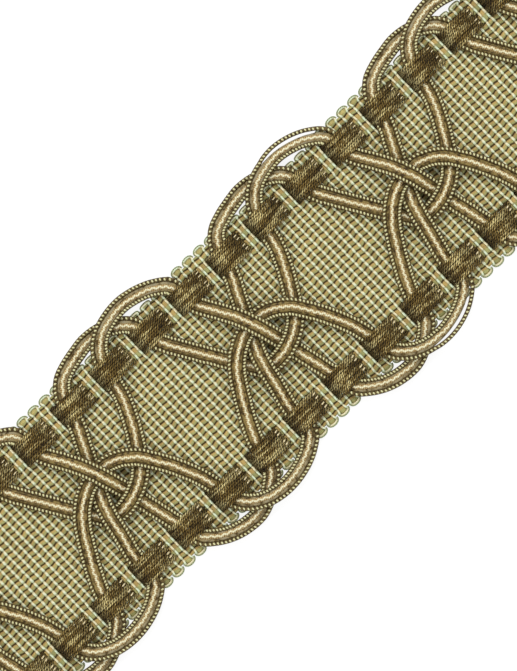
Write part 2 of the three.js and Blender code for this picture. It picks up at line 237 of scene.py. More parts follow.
def soften(values, reach):
    """A moving average with a bell-shaped weight, where reach counts samples."""
    window = np.arange(-math.ceil(3 * reach), math.ceil(3 * reach) + 1)
    weight = np.exp(-0.5 * (window / reach) ** 2)
    padded = np.pad(values, len(window) // 2, mode="edge")
    return np.convolve(padded, weight / weight.sum(), mode="valid")


def slow_drift(count, reach, size):
    """Random values that change slowly from sample to sample, as hand and loom leave them."""
    return soften(chance.normal(0, 1, count), reach) * size


def level_of(solid, spots, from_above):
    """The height in mm of a solid's top or underside at each spot, filled in where the solid isn't there."""
    start, way = (ABOVE_ALL, (0, 0, -1)) if from_above else (BELOW_ALL, (0, 0, 1))
    levels = np.full(len(spots), np.nan)
    for number, (x, y) in enumerate(spots):
        hit, place, _, _ = solid.ray_cast((x / 1000, y / 1000, start), way)
        if hit:
            levels[number] = place.z * 1000
    known = np.flatnonzero(~np.isnan(levels))
    return np.interp(np.arange(len(spots)), known, levels[known])


def ramp(values, low, high):
    """A smooth step from 0 at the low value to 1 at the high one."""
    share = np.clip((values - low) / (high - low), 0, 1)
    return share * share * (3 - 2 * share)


def unit(vectors):
    return vectors / np.linalg.norm(vectors, axis=-1, keepdims=True)


def cross_frame(line):
    """The directions to the left of a line and up out of it."""
    heading = unit(np.gradient(line, axis=0))
    left = unit(np.cross([0, 0, 1.0], heading))
    return left, np.cross(heading, left)


def left_in_plan(line):
    """The direction to the left of a flat line."""
    heading = unit(np.gradient(line, axis=0))
    return np.stack([-heading[:, 1], heading[:, 0]], 1)


def mesh_object(name, points, corners, sizes, marks, material):
    """One object from points in mm, face corners, corners per face and a pair of marks per corner."""
    mesh = bpy.data.meshes.new(name)
    mesh.vertices.add(len(points))
    mesh.vertices.foreach_set("co", (points / 1000).astype(np.float32).reshape(-1))
    mesh.loops.add(len(corners))
    mesh.loops.foreach_set("vertex_index", corners.astype(np.int32))
    mesh.polygons.add(len(sizes))
    mesh.polygons.foreach_set("loop_start", np.concatenate([[0], np.cumsum(sizes)[:-1]]).astype(np.int32))
    mesh.polygons.foreach_set("use_smooth", sizes == 4)
    mesh.update(calc_edges=True)
    layer = mesh.uv_layers.new(name="yarn")
    layer.data.foreach_set("uv", np.asarray(marks, np.float32).reshape(-1))
    mesh.materials.append(material)
    made = bpy.data.objects.new(name, mesh)
    scene.collection.objects.link(made)
    return made


class Strands:
    """Yarns laid as closed tubes, gathered into one mesh. All sizes are in mm."""

    def __init__(self):
        self.points = []
        self.quads = []
        self.quad_marks = []
        self.caps = []
        self.cap_marks = []
        self.count = 0

    def lay(self, centre, left, up, width, height, along, sides):
        """Adds tubes of equal ring count: centre, left and up are [tube, ring, 3], the rest [tube, ring]."""
        angle = 2 * np.pi * (np.arange(sides) + 0.5) / sides
        swing = left[:, :, None] * (np.cos(angle)[:, None] * width[:, :, None, None] / 2)
        lift = up[:, :, None] * (np.sin(angle)[:, None] * height[:, :, None, None] / 2)
        points = centre[:, :, None] + swing + lift
        index = np.arange(points[..., 0].size).reshape(points.shape[:3]) + self.count
        turned = np.roll(index, -1, axis=2)
        quads = np.stack([index[:, :-1], turned[:, :-1], turned[:, 1:], index[:, 1:]], -1)
        near = np.repeat(along[:, :-1, None], sides, axis=2)
        far = np.repeat(along[:, 1:, None], sides, axis=2)
        low = np.broadcast_to(np.arange(sides) / sides, near.shape)
        high = low + 1 / sides
        marks = np.stack([near, low, near, high, far, high, far, low], -1)
        self.points.append(points.reshape(-1, 3))
        self.quads.append(quads.reshape(-1, 4))
        self.quad_marks.append(marks.reshape(-1, 8))
        for ends in (index[:, 0, ::-1], index[:, -1]):
            self.caps.extend(ends)
            self.cap_marks.extend(np.zeros((len(ends), 2 * sides)))
        self.count += index.size

    def lay_one(self, line, along, width, height, sides):
        """Adds one tube along a line, level across. The width and height are one value or one a ring."""
        left, up = cross_frame(line)
        wide = np.broadcast_to(width, along.shape)
        high = np.broadcast_to(height, along.shape)
        self.lay(line[None], left[None], up[None], wide[None], high[None], along[None], sides)

    def finish(self, name, material):
        faces = [np.concatenate(self.quads), *self.caps]
        corners = np.concatenate([face.reshape(-1) for face in faces])
        sizes = np.concatenate([np.full(len(faces[0]), 4), [len(cap) for cap in self.caps]]).astype(int)
        marks = np.concatenate([np.concatenate(self.quad_marks).reshape(-1), *self.cap_marks])
        return mesh_object(name, np.concatenate(self.points), corners, sizes, marks, material)


class GimpBase:
    """Where one gimp lies: its middle line in plan, and its solid's underside in three lanes across it."""

    def __init__(self, number):
        knots = np.array([
            (along + (repeat + number - 1 + PERIOD_REPEATS * period) * REPEAT, across)
            for period in (-2, -1, 0, 1)
            for _, repeat, run_points in ROUTE
            for along, across in run_points
        ])
        plan, run = even_steps(smooth_line(knots, SPLINE_STEPS), ROUTE_STEP)
        kept = np.abs(plan[:, 0]) < HALF_LENGTH + OVERRUN
        self.number = number
        self.plan = plan[kept]
        self.run = run[kept]
        self.sideways = left_in_plan(self.plan)
        solid = nodes[f"gimp_{number}"]
        self.levels = np.stack([
            soften(level_of(solid, self.plan + self.sideways * lane, False), LEVEL_REACH)
            for lane in (-LANE, 0.0, LANE)
        ])

    def line_at(self, offset, rise, step):
        """A line at an offset to the gimp's left and a rise above its underside, with a point at every step
        along the gimp's middle."""
        offset = np.broadcast_to(offset, len(self.plan))
        share = np.clip(offset / LANE + 1, 0, 2)
        lane = np.minimum(share.astype(int), 1)
        spot = np.arange(len(self.plan))
        level = self.levels[lane, spot] * (lane + 1 - share) + self.levels[lane + 1, spot] * (share - lane)
        line = np.column_stack([self.plan + self.sideways * offset[:, None], level + rise])
        inside = np.abs(line[:, 0]) <= HALF_LENGTH
        marks = np.arange(self.run[inside][0], self.run[inside][-1], step)
        return np.stack([np.interp(marks, self.run[inside], values) for values in line[inside].T], 1), marks

    def come_away(self, side):
        """How far the beaded cord on one side has come away from the rest, from 0 to 1."""
        opened = np.zeros(len(self.plan))
        for gimp, split_side, start, end in SPLIT_CORDS:
            if (gimp, split_side) == (self.number, side):
                share = np.clip((self.plan[:, 0] - start) / (end - start), 0, 1)
                opened = np.sin(np.pi * share) ** 0.6
        return opened

    def inside_bend(self, side):
        """Where one side lies on the inside of a loop beyond the ground, from 0 to 1."""
        across = self.plan[:, 1]
        faces_in = across * side * self.sideways[:, 1] < 0
        return soften(ramp(np.abs(across), LOOP_START, LOOP_BENT) * faces_in, LOOP_REACH)


def wind_beads(threads, line):
    """Lays a short arched thread over a cord at every second point of its line. Each starts at a mark of its
    own, so that no two look alike."""
    left, up = cross_frame(line)
    ahead = np.cross(left, up)[1::2, None]
    left, up, middle = left[1::2, None], up[1::2, None], line[1::2, None]
    swing = np.linspace(-1, 1, len(BEAD_TAPER))
    angle = swing * BEAD_SPREAD + chance.normal(0, BEAD_UNEVEN, (len(middle), 1))
    out = up * np.cos(angle)[..., None] - left * np.sin(angle)[..., None]
    centre = middle + out * BEAD_CORD_THICK * 0.5 + ahead * (swing * BEAD_SLANT)[:, None]
    across = np.broadcast_to(ahead, centre.shape)
    taper = np.broadcast_to(BEAD_TAPER, angle.shape)
    along = swing + chance.uniform(0, 9, (len(middle), 1))
    threads.lay(centre, across, out, taper * BEAD_LONG, taper * BEAD_HIGH, along, len(BEAD_TAPER))


def lay_core(bed, thread, base):
    """Lays the tan bed, the cream thread that waves along it, and a thin tan yarn that waves against it."""
    line, marks = base.line_at(0.0, SATIN_THICK + CORE_LIFT, CORE_STEP)
    left, up = cross_frame(line)
    phase = marks * 2 * np.pi / WAVE_LENGTH + WAVE_STRAY * np.sin(marks / 3.7 + base.number)
    wander = SWAY * np.sin(marks / 1.9 + base.number) + slow_drift(len(marks), 1.3, SWAY_UNEVEN)
    bed_line = line + left * (0.7 * wander)[:, None] - up * BED_SINK
    bed.lay_one(bed_line[::2], marks[::2], BED_WIDTH, BED_THICK, 6)
    swing = WAVE_HEIGHT * np.sin(phase)
    waved = line + left * (wander + swing)[:, None]
    swollen = 1 + 0.12 * np.sin(2 * phase)
    thread.lay_one(waved, marks, CORE_WIDTH * swollen, CORE_WIDTH * 0.85, 8)
    against = line - left * (0.8 * swing)[:, None] - up * 0.12
    bed.lay_one(against, marks, CORE_WIDTH * 0.9, CORE_WIDTH * 0.6, 4)


def settle(piece, slot, *replaced):
    """Fixes a piece to the tape's one body and hides the solids that it stands for."""
    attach(piece, "root")
    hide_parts(*replaced)
    return piece


class Look:
    """A shader node group that gives a colour and a height, with the means to draw its nodes."""

    def __init__(self, name, inputs):
        """Inputs are (name, kind, value), where a kind is Float or Color."""
        self.tree = bpy.data.node_groups.new(name, "ShaderNodeTree")
        for label, kind, value in inputs:
            socket = self.tree.interface.new_socket(label, in_out="INPUT", socket_type="NodeSocket" + kind)
            socket.default_value = value
        for label, kind in (("Colour", "Color"), ("Height", "Float")):
            self.tree.interface.new_socket(label, in_out="OUTPUT", socket_type="NodeSocket" + kind)
        self.given = self.tree.nodes.new("NodeGroupInput").outputs
        self.result = self.tree.nodes.new("NodeGroupOutput").inputs

    def plug(self, socket, value):
        if isinstance(value, bpy.types.NodeSocket):
            self.tree.links.new(value, socket)
        else:
            socket.default_value = value

    def give(self, tint, height):
        self.plug(self.result["Colour"], tint)
        self.plug(self.result["Height"], height)

    def maths(self, operation, *values):
        node = self.tree.nodes.new("ShaderNodeMath")
        node.operation = operation
        for socket, value in zip(node.inputs, values):
            self.plug(socket, value)
        return node.outputs[0]

    def times(self, first, second):
        return self.maths("MULTIPLY", first, second)

    def blend(self, share, first, second):
        node = self.tree.nodes.new("ShaderNodeMix")
        node.data_type = "RGBA"
        self.plug(node.inputs["Factor"], share)
        self.plug(node.inputs["A"], first)
        self.plug(node.inputs["B"], second)
        return node.outputs["Result"]

    def scaled(self, share, tint, low, high):
        """A colour made darker or lighter: share 0 gives low times the colour, share 1 high times."""
        node = self.tree.nodes.new("ShaderNodeVectorMath")
        node.operation = "SCALE"
        self.plug(node.inputs[0], tint)
        self.plug(node.inputs["Scale"], self.maths("MULTIPLY_ADD", share, high - low, low))
        return node.outputs[0]

    def step_up(self, value, low, high):
        """A smooth step from 0 below the low value to 1 above the high one."""
        node = self.tree.nodes.new("ShaderNodeMapRange")
        node.interpolation_type = "SMOOTHSTEP"
        self.plug(node.inputs["Value"], value)
        node.inputs["From Min"].default_value = low
        node.inputs["From Max"].default_value = high
        return node.outputs[0]

    def yarn_marks(self):
        """How far along its yarn a spot lies, in mm, and how far round it, from 0 to 1."""
        marks = self.tree.nodes.new("ShaderNodeUVMap")
        marks.uv_map = "yarn"
        split = self.tree.nodes.new("ShaderNodeSeparateXYZ")
        self.tree.links.new(marks.outputs[0], split.inputs[0])
        return split.outputs["X"], split.outputs["Y"]

    def place_on_tape(self):
        """How far along the tape and across it a spot lies from the tape's middle, in mm."""
        place = self.tree.nodes.new("ShaderNodeTexCoord").outputs["Object"]
        split = self.tree.nodes.new("ShaderNodeSeparateXYZ")
        self.tree.links.new(place, split.inputs[0])
        return self.times(split.outputs["X"], 1000.0), self.times(split.outputs["Y"], 1000.0)

    def plies(self, spacing, turns):
        """How a plied yarn swells, from 0 in the groove between two plies to 1 on the crown of one."""
        along, around = self.yarn_marks()
        passed = self.maths("DIVIDE", along, spacing)
        phase = self.maths("FRACT", self.maths("ADD", passed, self.times(around, turns)))
        return self.maths("SINE", self.times(phase, math.pi))

    def fleck(self, first, first_rate, second, second_rate, detail=1.0):
        """Cloudy noise from 0 to 1 over two coordinates, each with its own rate of change."""
        join = self.tree.nodes.new("ShaderNodeCombineXYZ")
        self.plug(join.inputs["X"], self.times(first, first_rate))
        self.plug(join.inputs["Y"], self.times(second, second_rate))
        noise = self.tree.nodes.new("ShaderNodeTexNoise")
        noise.inputs["Scale"].default_value = 1.0
        noise.inputs["Detail"].default_value = detail
        self.tree.links.new(join.outputs[0], noise.inputs["Vector"])
        spread = self.tree.nodes.new("ShaderNodeMapRange")
        spread.inputs["From Min"].default_value = 0.3
        spread.inputs["From Max"].default_value = 0.7
        self.tree.links.new(noise.outputs[0], spread.inputs["Value"])
        return spread.outputs[0]


def yarn_material(name, base, roughness, look, relief, depth, **values):
    """A material whose colour and relief come from a look. The depth of the relief is in mm."""
    material, shader = new_material(name, base, roughness)
    tree = material.node_tree
    group = tree.nodes.new("ShaderNodeGroup")
    group.node_tree = look.tree
    for label, value in values.items():
        group.inputs[label].default_value = value
    bump = tree.nodes.new("ShaderNodeBump")
    bump.inputs["Strength"].default_value = relief
    bump.inputs["Distance"].default_value = depth / 1000
    tree.links.new(group.outputs["Colour"], shader.inputs["Base Color"])
    tree.links.new(group.outputs["Height"], bump.inputs["Height"])
    tree.links.new(bump.outputs["Normal"], shader.inputs["Normal"])
    return material


def plied_yarn_look():
    """Plied yarn: slanted grooves between the plies, darkened with painted shade, lighter ply crowns, and
    fibres that vary a little in tone.
    """
    look = Look("plied_yarn", [
        ("Spacing", "Float", 1.3),
        ("Plies", "Float", 2.0),
        ("Groove", "Color", colour(60, 45, 24)),
        ("Ply", "Color", colour(130, 116, 80)),
        ("Variation", "Float", 0.3),
    ])
    given = look.given
    along, around = look.yarn_marks()
    swell = look.plies(given["Spacing"], given["Plies"])
    tone = look.fleck(along, 0.9, around, 3.0)
    # the Groove colour is painted shade in the grooves between the plies, the Ply colour the lit crown of
    # each ply
    light = look.maths("SUBTRACT", swell, look.times(tone, given["Variation"]))
    look.give(look.blend(light, given["Groove"], given["Ply"]), swell)
    return look


def satin_fibres_look():
    """Satin: lustrous fibres that run along the cord in lighter and darker streaks. In the loops beyond the
    ground, the cord is lighter and its fibres lie looser, with a greyish veil over some of them."""
    look = Look("satin_fibres", [
        ("Light", "Color", colour(160, 142, 98)),
        ("Dark", "Color", colour(118, 98, 58)),
        ("Loop Gain", "Float", 1.4),
        ("Loop Veil", "Color", colour(148, 140, 116)),
    ])
    given = look.given
    along, around = look.yarn_marks()
    _, across = look.place_on_tape()
    streak = look.fleck(along, 0.35, around, 26.0)
    cloud = look.fleck(along, 0.7, around, 3.0)
    mixed = look.maths("MULTIPLY_ADD", streak, 0.5, look.times(cloud, 0.5))
    fibres = look.blend(look.step_up(mixed, 0.25, 0.75), given["Dark"], given["Light"])
    loose = look.step_up(look.maths("ABSOLUTE", across), *INTO_LOOP)
    gain = look.maths("MULTIPLY_ADD", loose, look.maths("SUBTRACT", given["Loop Gain"], 1.0), 1.0)
    veiled = look.times(loose, look.maths("MULTIPLY_ADD", cloud, 0.9, -0.05))
    look.give(look.blend(veiled, look.scaled(gain, fibres, 0, 1), given["Loop Veil"]), streak)
    return look


plied_yarn = plied_yarn_look()
# In each plied yarn below, the Groove colour is painted shade between the plies and the Ply colour the lit
# crown.
bead_cord_material = yarn_material(
    "bead_cord_brown", colour(90, 74, 40), 0.75, plied_yarn, 0.6, 0.2,
    Spacing=1.5, Plies=1.0, Groove=colour(54, 40, 18), Ply=colour(104, 88, 50), Variation=0.3,
)
bead_thread_material = yarn_material(
    "bead_thread_cream", colour(214, 210, 164), 0.65, plied_yarn, 0.3, 0.05,
    Spacing=0.5, Plies=1.0, Groove=colour(194, 187, 134), Ply=colour(232, 230, 182), Variation=0.3,
)
core_material = yarn_material(
    "core_thread_cream", colour(222, 214, 174), 0.6, plied_yarn, 0.3, 0.06,
    Spacing=0.8, Plies=1.0, Groove=colour(204, 190, 146), Ply=colour(242, 240, 208), Variation=0.4,
)
bed_material = yarn_material(
    "core_bed_tan", colour(176, 150, 104), 0.7, plied_yarn, 0.4, 0.1,
    Spacing=0.8, Plies=1.0, Groove=colour(134, 107, 60), Ply=colour(216, 188, 134), Variation=0.5,
)
satin_material = yarn_material(
    "satin_cord_olive", colour(140, 122, 80), 0.5, satin_fibres_look(), 0.35, 0.08,
    Light=colour(143, 123, 70), Dark=colour(56, 40, 8),
)

for number in range(1, PERIOD_REPEATS + 1):
    base = GimpBase(number)
    bead_cords, bead_threads, satin_cords, core_bed, core_thread = (Strands() for _ in range(5))
    for side in (-1, 1):
        opened = SPLIT_SHIFT * base.come_away(side)
        drawn_in = LOOP_NARROWING * base.inside_bend(side)
        offset = side * (BEAD_CORD_OFFSET + opened - drawn_in)
        line, marks = base.line_at(offset, BEAD_CORD_THICK / 2, BEAD_SPACING / 2)
        bead_cords.lay_one(line, marks, BEAD_CORD_WIDTH, BEAD_CORD_THICK, 8)
        wind_beads(bead_threads, line)
        offset = side * (SATIN_OFFSET - opened - drawn_in / 2)
        line, marks = base.line_at(offset, SATIN_THICK / 2, SATIN_STEP)
        satin_cords.lay_one(line, marks, SATIN_WIDTH, SATIN_THICK, 8)
    lay_core(core_bed, core_thread, base)
    for strands, name, material in (
        (bead_cords, "bead_cords", bead_cord_material),
        (bead_threads, "bead_threads", bead_thread_material),
        (satin_cords, "satin_cords", satin_material),
        (core_bed, "core_bed", bed_material),
        (core_thread, "core_thread", core_material),
    ):
        piece = strands.finish(f"{name}_{number}", material)
        settle(piece, "gimp", f"gimp_{number}")


# The woven ground: a warp-faced cloth whose gold and sage ends run along the tape in narrow rows and bulge
# between the wefts, with painted shade, dark brown, in the gaps between the rows. Its two edges swell out
# into the picots. It is one closed sheet, 2 mm thick.
RIB_PITCH = REPEAT / 28
ROW_PITCH = 2.38
ROW_START = 41.52
FIRST_GAP = ROW_START - 0.875 * ROW_PITCH  # the brown gap nearest to the upper edge
LINE_PITCH = ROW_PITCH / 4
COLUMNS_PER_RIB = 4
EDGE = 40.6
TURN_ROOT = 39.9  # where the wefts start to bend round into a picot
ZIGZAG = 0.19
ROW_WANDER = 0.26
GROUND_LEVEL = 1.72
RIM_LEVEL = 1.2
RIB_RISE = 0.2
GAP_DEPTH = 0.45
GAP_REACH = 0.12  # as a share of a row
FACE_UNEVEN = 0.03
PICOT_HALF = 2.1
PICOT_SWELL = 1.6
PULLED_FLAT = {1: 0.6, -1: 0.1}  # how much of a picot is lost where the loops lie over it, above and below
UNDER_LOOPS = (11, 16, 61, 66)  # from the middle of a knot to where the loops lie over the picots
FLOAT_PITCH = REPEAT / 4
TIE_INNER = 26.6
TIE_OUTER = 37
TIE_FADE = 1.5
TIE_BEFORE = 2.9  # how far a tie reaches each way from the middle of its two wefts
TIE_AFTER = 2.2
TIE_FLANK = (-0.6, 0.2)  # where its side starts and ends, from that reach on
TIE_RISE = 0.6
DOUBLE_INNER = 27.37
DOUBLE_OUTER = 36.89


def plateau(values, foot, top, brink, end):
    """1 from the top to the brink, and falling smoothly to 0 at the foot and at the end."""
    return ramp(values, foot, top) * (1 - ramp(values, brink, end))


def tie_share(x, y):
    """How far a spot belongs to a tie, a raised rib that holds the floats down, from 0 to 1."""
    beside = x - np.round(x / FLOAT_PITCH) * FLOAT_PITCH
    from_tie = np.where(beside < 0, -beside - TIE_BEFORE, beside - TIE_AFTER)
    across = np.abs(y)
    inside = plateau(across, TIE_INNER - TIE_FADE, TIE_INNER, TIE_OUTER, TIE_OUTER + TIE_FADE)
    return (1 - ramp(from_tie, *TIE_FLANK)) * inside


def from_gap(y):
    """How far a spot lies from the middle of the nearest brown gap, as a share of a row. In a tie, two rows
    have run together into one, without the gap between them."""
    rows = (FIRST_GAP - y) / ROW_PITCH
    in_tie = (np.abs(y) > DOUBLE_INNER) & (np.abs(y) < DOUBLE_OUTER)
    doubled = 2 * np.abs(np.mod((rows + (y > 0)) / 2 + 0.5, 1) - 0.5)
    return np.where(in_tie, doubled, np.abs(np.mod(rows + 0.5, 1) - 0.5))


def picot_swell(x, side):
    """How far the edge stands out beside a picot: the upper ones lie on odd ribs, the lower ones on even."""
    shift = RIB_PITCH if side > 0 else 0
    from_centre = x - shift - np.round((x - shift) / (2 * RIB_PITCH)) * 2 * RIB_PITCH
    return PICOT_SWELL * np.sqrt(np.clip(1 - (from_centre / PICOT_HALF) ** 2, 0, 1))


def picot_reach(x, side):
    """The share of its full height that a picot keeps at a place along the tape."""
    from_knot = np.mod(x, REPEAT)
    return 1 - PULLED_FLAT[side] * plateau(from_knot, *UNDER_LOOPS)


def edge_line(x, side):
    """How far from the middle of the tape its woven edge runs."""
    return TURN_ROOT + (EDGE - TURN_ROOT + picot_swell(x, side)) * picot_reach(x, side)


def closed_sheet(top):
    """The points, face corners and corners per face of a sheet with this top, [column, line, 3] in mm, with
    upright sides and a flat back."""
    columns, lines = top.shape[:2]
    index = np.arange(columns * lines).reshape(columns, lines)
    face = np.stack([index[:-1, 1:], index[1:, 1:], index[1:, :-1], index[:-1, :-1]], -1).reshape(-1, 4)
    rim = np.concatenate([index[:, 0], index[-1, 1:], index[-2::-1, -1], index[0, -2:0:-1]])
    below = np.arange(len(rim)) + index.size
    walls = np.stack([rim, np.roll(rim, -1), np.roll(below, -1), below], -1)
    far_start = columns + lines - 2
    near = below[:columns]
    far = below[far_start : far_start + columns][::-1]
    back = np.stack([near[1:-2], near[2:-1], far[2:-1], far[1:-2]], -1)
    first_end = np.concatenate([near[:2], far[1::-1], below[far_start + columns :]])
    last_end = np.concatenate([near[-2:-1], below[columns - 1 : columns + lines - 1], far[-2:-1]])
    quads = np.concatenate([face, walls, back])
    points = top.reshape(-1, 3)
    points = np.concatenate([points, points[rim] * (1, 1, 0)])
    corners = np.concatenate([quads.reshape(-1), first_end, last_end])
    sizes = np.concatenate([np.full(len(quads), 4), [len(first_end), len(last_end)]]).astype(int)
    return points, corners, sizes


def row_share(look, across):
    """How far down its row a spot lies, from 0 at one brown gap to 1 at the next, how far it lies from the
    nearest gap, as a share of a plain row, and how many rows down it is. In a tie, two rows are one."""
    rows = look.maths("DIVIDE", look.maths("SUBTRACT", FIRST_GAP, across), ROW_PITCH)
    upper_half = look.maths("GREATER_THAN", across, 0.0)
    doubled = look.maths("FRACT", look.times(look.maths("ADD", rows, upper_half), 0.5))
    out = look.maths("ABSOLUTE", across)
    past_inner = look.maths("GREATER_THAN", out, DOUBLE_INNER)
    in_tie = look.times(past_inner, look.maths("LESS_THAN", out, DOUBLE_OUTER))
    plain = look.maths("FRACT", rows)
    share = look.maths("MULTIPLY_ADD", look.maths("SUBTRACT", doubled, plain), in_tie, plain)
    nearest = look.maths("SUBTRACT", 0.5, look.maths("ABSOLUTE", look.maths("SUBTRACT", share, 0.5)))
    return share, look.times(nearest, look.maths("ADD", in_tie, 1.0)), rows


def cell_chance(look, column, row):
    """A random value from 0 to 1 for each cell of the weave."""
    grain = look.tree.nodes.new("ShaderNodeTexWhiteNoise")
    grain.noise_dimensions = "2D"
    join = look.tree.nodes.new("ShaderNodeCombineXYZ")
    look.plug(join.inputs["X"], column)
    look.plug(join.inputs["Y"], row)
    look.tree.links.new(join.outputs[0], grain.inputs["Vector"])
    return grain.outputs["Value"]


def woven_rows_look():
    """Woven rows: from one weft to the next, each row shows a gold end and a sage end, with painted shade,
    dark brown, in the gap under them. The picots are mostly sage, without gaps, and both cut ends are duller."""
    look = Look("woven_rows", [
        ("Gold", "Color", colour(176, 150, 91)),
        ("Sage", "Color", colour(161, 158, 102)),
        ("Gap Shade", "Color", colour(64, 46, 19)),
        ("Cut End", "Color", colour(112, 101, 66)),
    ])
    given = look.given
    along, across = look.place_on_tape()
    rib = look.maths("SINE", look.times(along, math.pi / RIB_PITCH))
    drift = look.fleck(along, 0.32, across, 0.32)
    wander = look.maths("MULTIPLY_ADD", drift, ROW_WANDER, -ROW_WANDER / 2)
    zigzag = look.maths("MULTIPLY_ADD", rib, ZIGZAG, wander)
    share, to_gap, rows = row_share(look, look.maths("ADD", across, zigzag))
    past_edge = look.step_up(look.maths("ABSOLUTE", across), EDGE - 0.1, EDGE + 0.3)
    rib_number = look.maths("ROUND", look.maths("DIVIDE", along, RIB_PITCH))
    grain = cell_chance(look, rib_number, look.maths("FLOOR", rows))
    fibre = look.fleck(along, 0.8, across, 5.0)
    to_sage = look.maths("MAXIMUM", look.step_up(share, 0.4, 0.6), look.times(past_edge, 0.6))
    far_from_gap = look.maths("MAXIMUM", look.step_up(to_gap, 0.05, 0.25), past_edge)
    in_gap = look.maths("SUBTRACT", 1.0, far_from_gap)
    cloth_colour = look.blend(to_sage, given["Gold"], given["Sage"])
    cloth_colour = look.scaled(grain, cloth_colour, 0.79, 1.16)
    cloth_colour = look.scaled(fibre, cloth_colour, 0.88, 1.08)
    cloth_colour = look.scaled(past_edge, cloth_colour, 1.0, 1.15)
    # painted shade: the gap between the rows is painted dark brown
    cloth_colour = look.blend(in_gap, cloth_colour, given["Gap Shade"])
    at_end = look.step_up(look.maths("ABSOLUTE", along), HALF_LENGTH - 0.25, HALF_LENGTH - 0.05)
    cloth_colour = look.blend(look.times(at_end, 0.7), cloth_colour, given["Cut End"])
    look.give(cloth_colour, look.maths("SUBTRACT", fibre, in_gap))
    return look


columns = np.linspace(-HALF_LENGTH, HALF_LENGTH, round(LENGTH / RIB_PITCH) * COLUMNS_PER_RIB + 1)
lines_down = np.arange(ROW_START - 1.5 * LINE_PITCH, -EDGE, -LINE_PITCH)
x, y = np.meshgrid(columns, lines_down, indexing="ij")
crest = np.cos(2 * np.pi * x / RIB_PITCH)
notch = np.exp(-((from_gap(y) / GAP_REACH) ** 2))
z = GROUND_LEVEL + RIB_RISE * crest - GAP_DEPTH * notch + TIE_RISE * tie_share(x, y)
z += chance.normal(0, FACE_UNEVEN, z.shape)
y = y - ZIGZAG * np.sin(np.pi * x / RIB_PITCH) * (np.abs(y) < EDGE - 1)
z[:, 0] = RIM_LEVEL
z[:, -1] = RIM_LEVEL
y[:, 0] = edge_line(columns, 1)
y[:, -1] = -edge_line(columns, -1)
points, corners, sizes = closed_sheet(np.stack([x, y, z], -1))
woven_rows = woven_rows_look()
ground_material = yarn_material("ground_rows", colour(150, 136, 88), 0.8, woven_rows, 0.4, 0.2)
ground = mesh_object("ground_cloth", points, corners, sizes, np.zeros(2 * len(corners)), ground_material)
settle(ground, "ground", "ground_tape")


# The weft: one cream cord that runs back and forth across the ground, a rib apart, standing proud between the
# bulging rows. Where it turns it makes a picot, with a thin sage cord round its outside. Over a tie it lies
# straight on top of the floats.
WEFTS_EACH_WAY = 62  # from the middle of the tape; the last rib at each cut end has lost its weft
WEFT_WIDTH = 1.16
WEFT_LEVEL = 1.82
WEFT_UNEVEN = 0.05
GAP_DIP = 0.38
TIE_LIFT = TIE_RISE + 0.15
TURN_DROP = 0.5
TURN_PATH = [  # from one weft round to the next, in [along, out from the root]
    (0, -0.8), (0, 0), (-0.2, 0.65), (-0.34, 1.2), (-0.16, 1.75), (0.5, 2.2), (1.6, 2.36), (2.65, 2.2),
    (3.3, 1.75), (3.45, 1.2), (3.2, 0.6), (RIB_PITCH, 0), (RIB_PITCH, -0.8),
]
TURN_WIDTH = 0.85
OUTLINE_OUT = 0.6
OUTLINE_WIDTH = 0.6
OUTLINE_LEVEL = 1.25
OUTLINE_STEP = 0.6
OUTLINE_TRIM = 3  # how many points of the turn the outline leaves out at each end
CORD_TWIST = 1 / 1.1  # along the weft from one ply to the next
PINCH = 0.27  # how far each weft of a tie is drawn towards the other
GAP_DIP_REACH = 0.13  # as a share of a row
GAP_NARROWING = 0.22
TIE_NARROWING = 0.2
WEFT_FLATNESS = 0.85  # height to width


def cream_cord_look():
    """Cream cord: painted light where it stands proud in the middle of a row, and painted shade, duller and
    greener, where it sinks towards a gap. The plies carry painted shade in their grooves.
    """
    look = Look("cream_cord", [
        ("Cream", "Color", colour(233, 223, 184)),
        ("Mint", "Color", colour(217, 231, 201)),
        ("Sunk Shade", "Color", colour(172, 170, 132)),
    ])
    given = look.given
    _, across = look.place_on_tape()
    share, to_gap, _ = row_share(look, across)
    from_middle = look.maths("ABSOLUTE", look.maths("SUBTRACT", to_gap, 0.5))
    proud = look.maths("COSINE", look.times(from_middle, math.pi * 0.9))
    ply = look.plies(CORD_TWIST, 2.0)
    # painted light on the proud middle of each row and on the ply crowns, painted shade where the cord sinks
    # and in the ply grooves
    lit = look.times(proud, look.maths("MULTIPLY_ADD", ply, 0.45, 0.65))
    pale = look.blend(look.step_up(share, 0.25, 0.75), given["Cream"], given["Mint"])
    look.give(look.blend(look.step_up(lit, 0.2, 0.8), given["Sunk Shade"], pale), ply)
    return look


def straight_weft(place, stations):
    """One crossing of the ground. The two wefts of a tie are pinched together."""
    beside_tie = place - round(place / FLOAT_PITCH) * FLOAT_PITCH
    if abs(beside_tie) < RIB_PITCH:
        across = np.abs(stations)
        over_floats = plateau(across, TIE_INNER - 1, TIE_INNER + 1, TIE_OUTER - 1, TIE_OUTER + 1)
        place = place - math.copysign(PINCH, beside_tie) * over_floats
    return np.column_stack([place + chance.normal(0, WEFT_UNEVEN, len(stations)), stations])


def picot_turn(place, side):
    """The turn from the weft at this place to the next one."""
    turn = smooth_line(np.array(TURN_PATH, float), 2)
    outward = turn[:, 1] > 0
    turn[outward, 1] *= picot_reach(place + RIB_PITCH / 2, side)
    return turn * (1, side) + (place, side * TURN_ROOT)


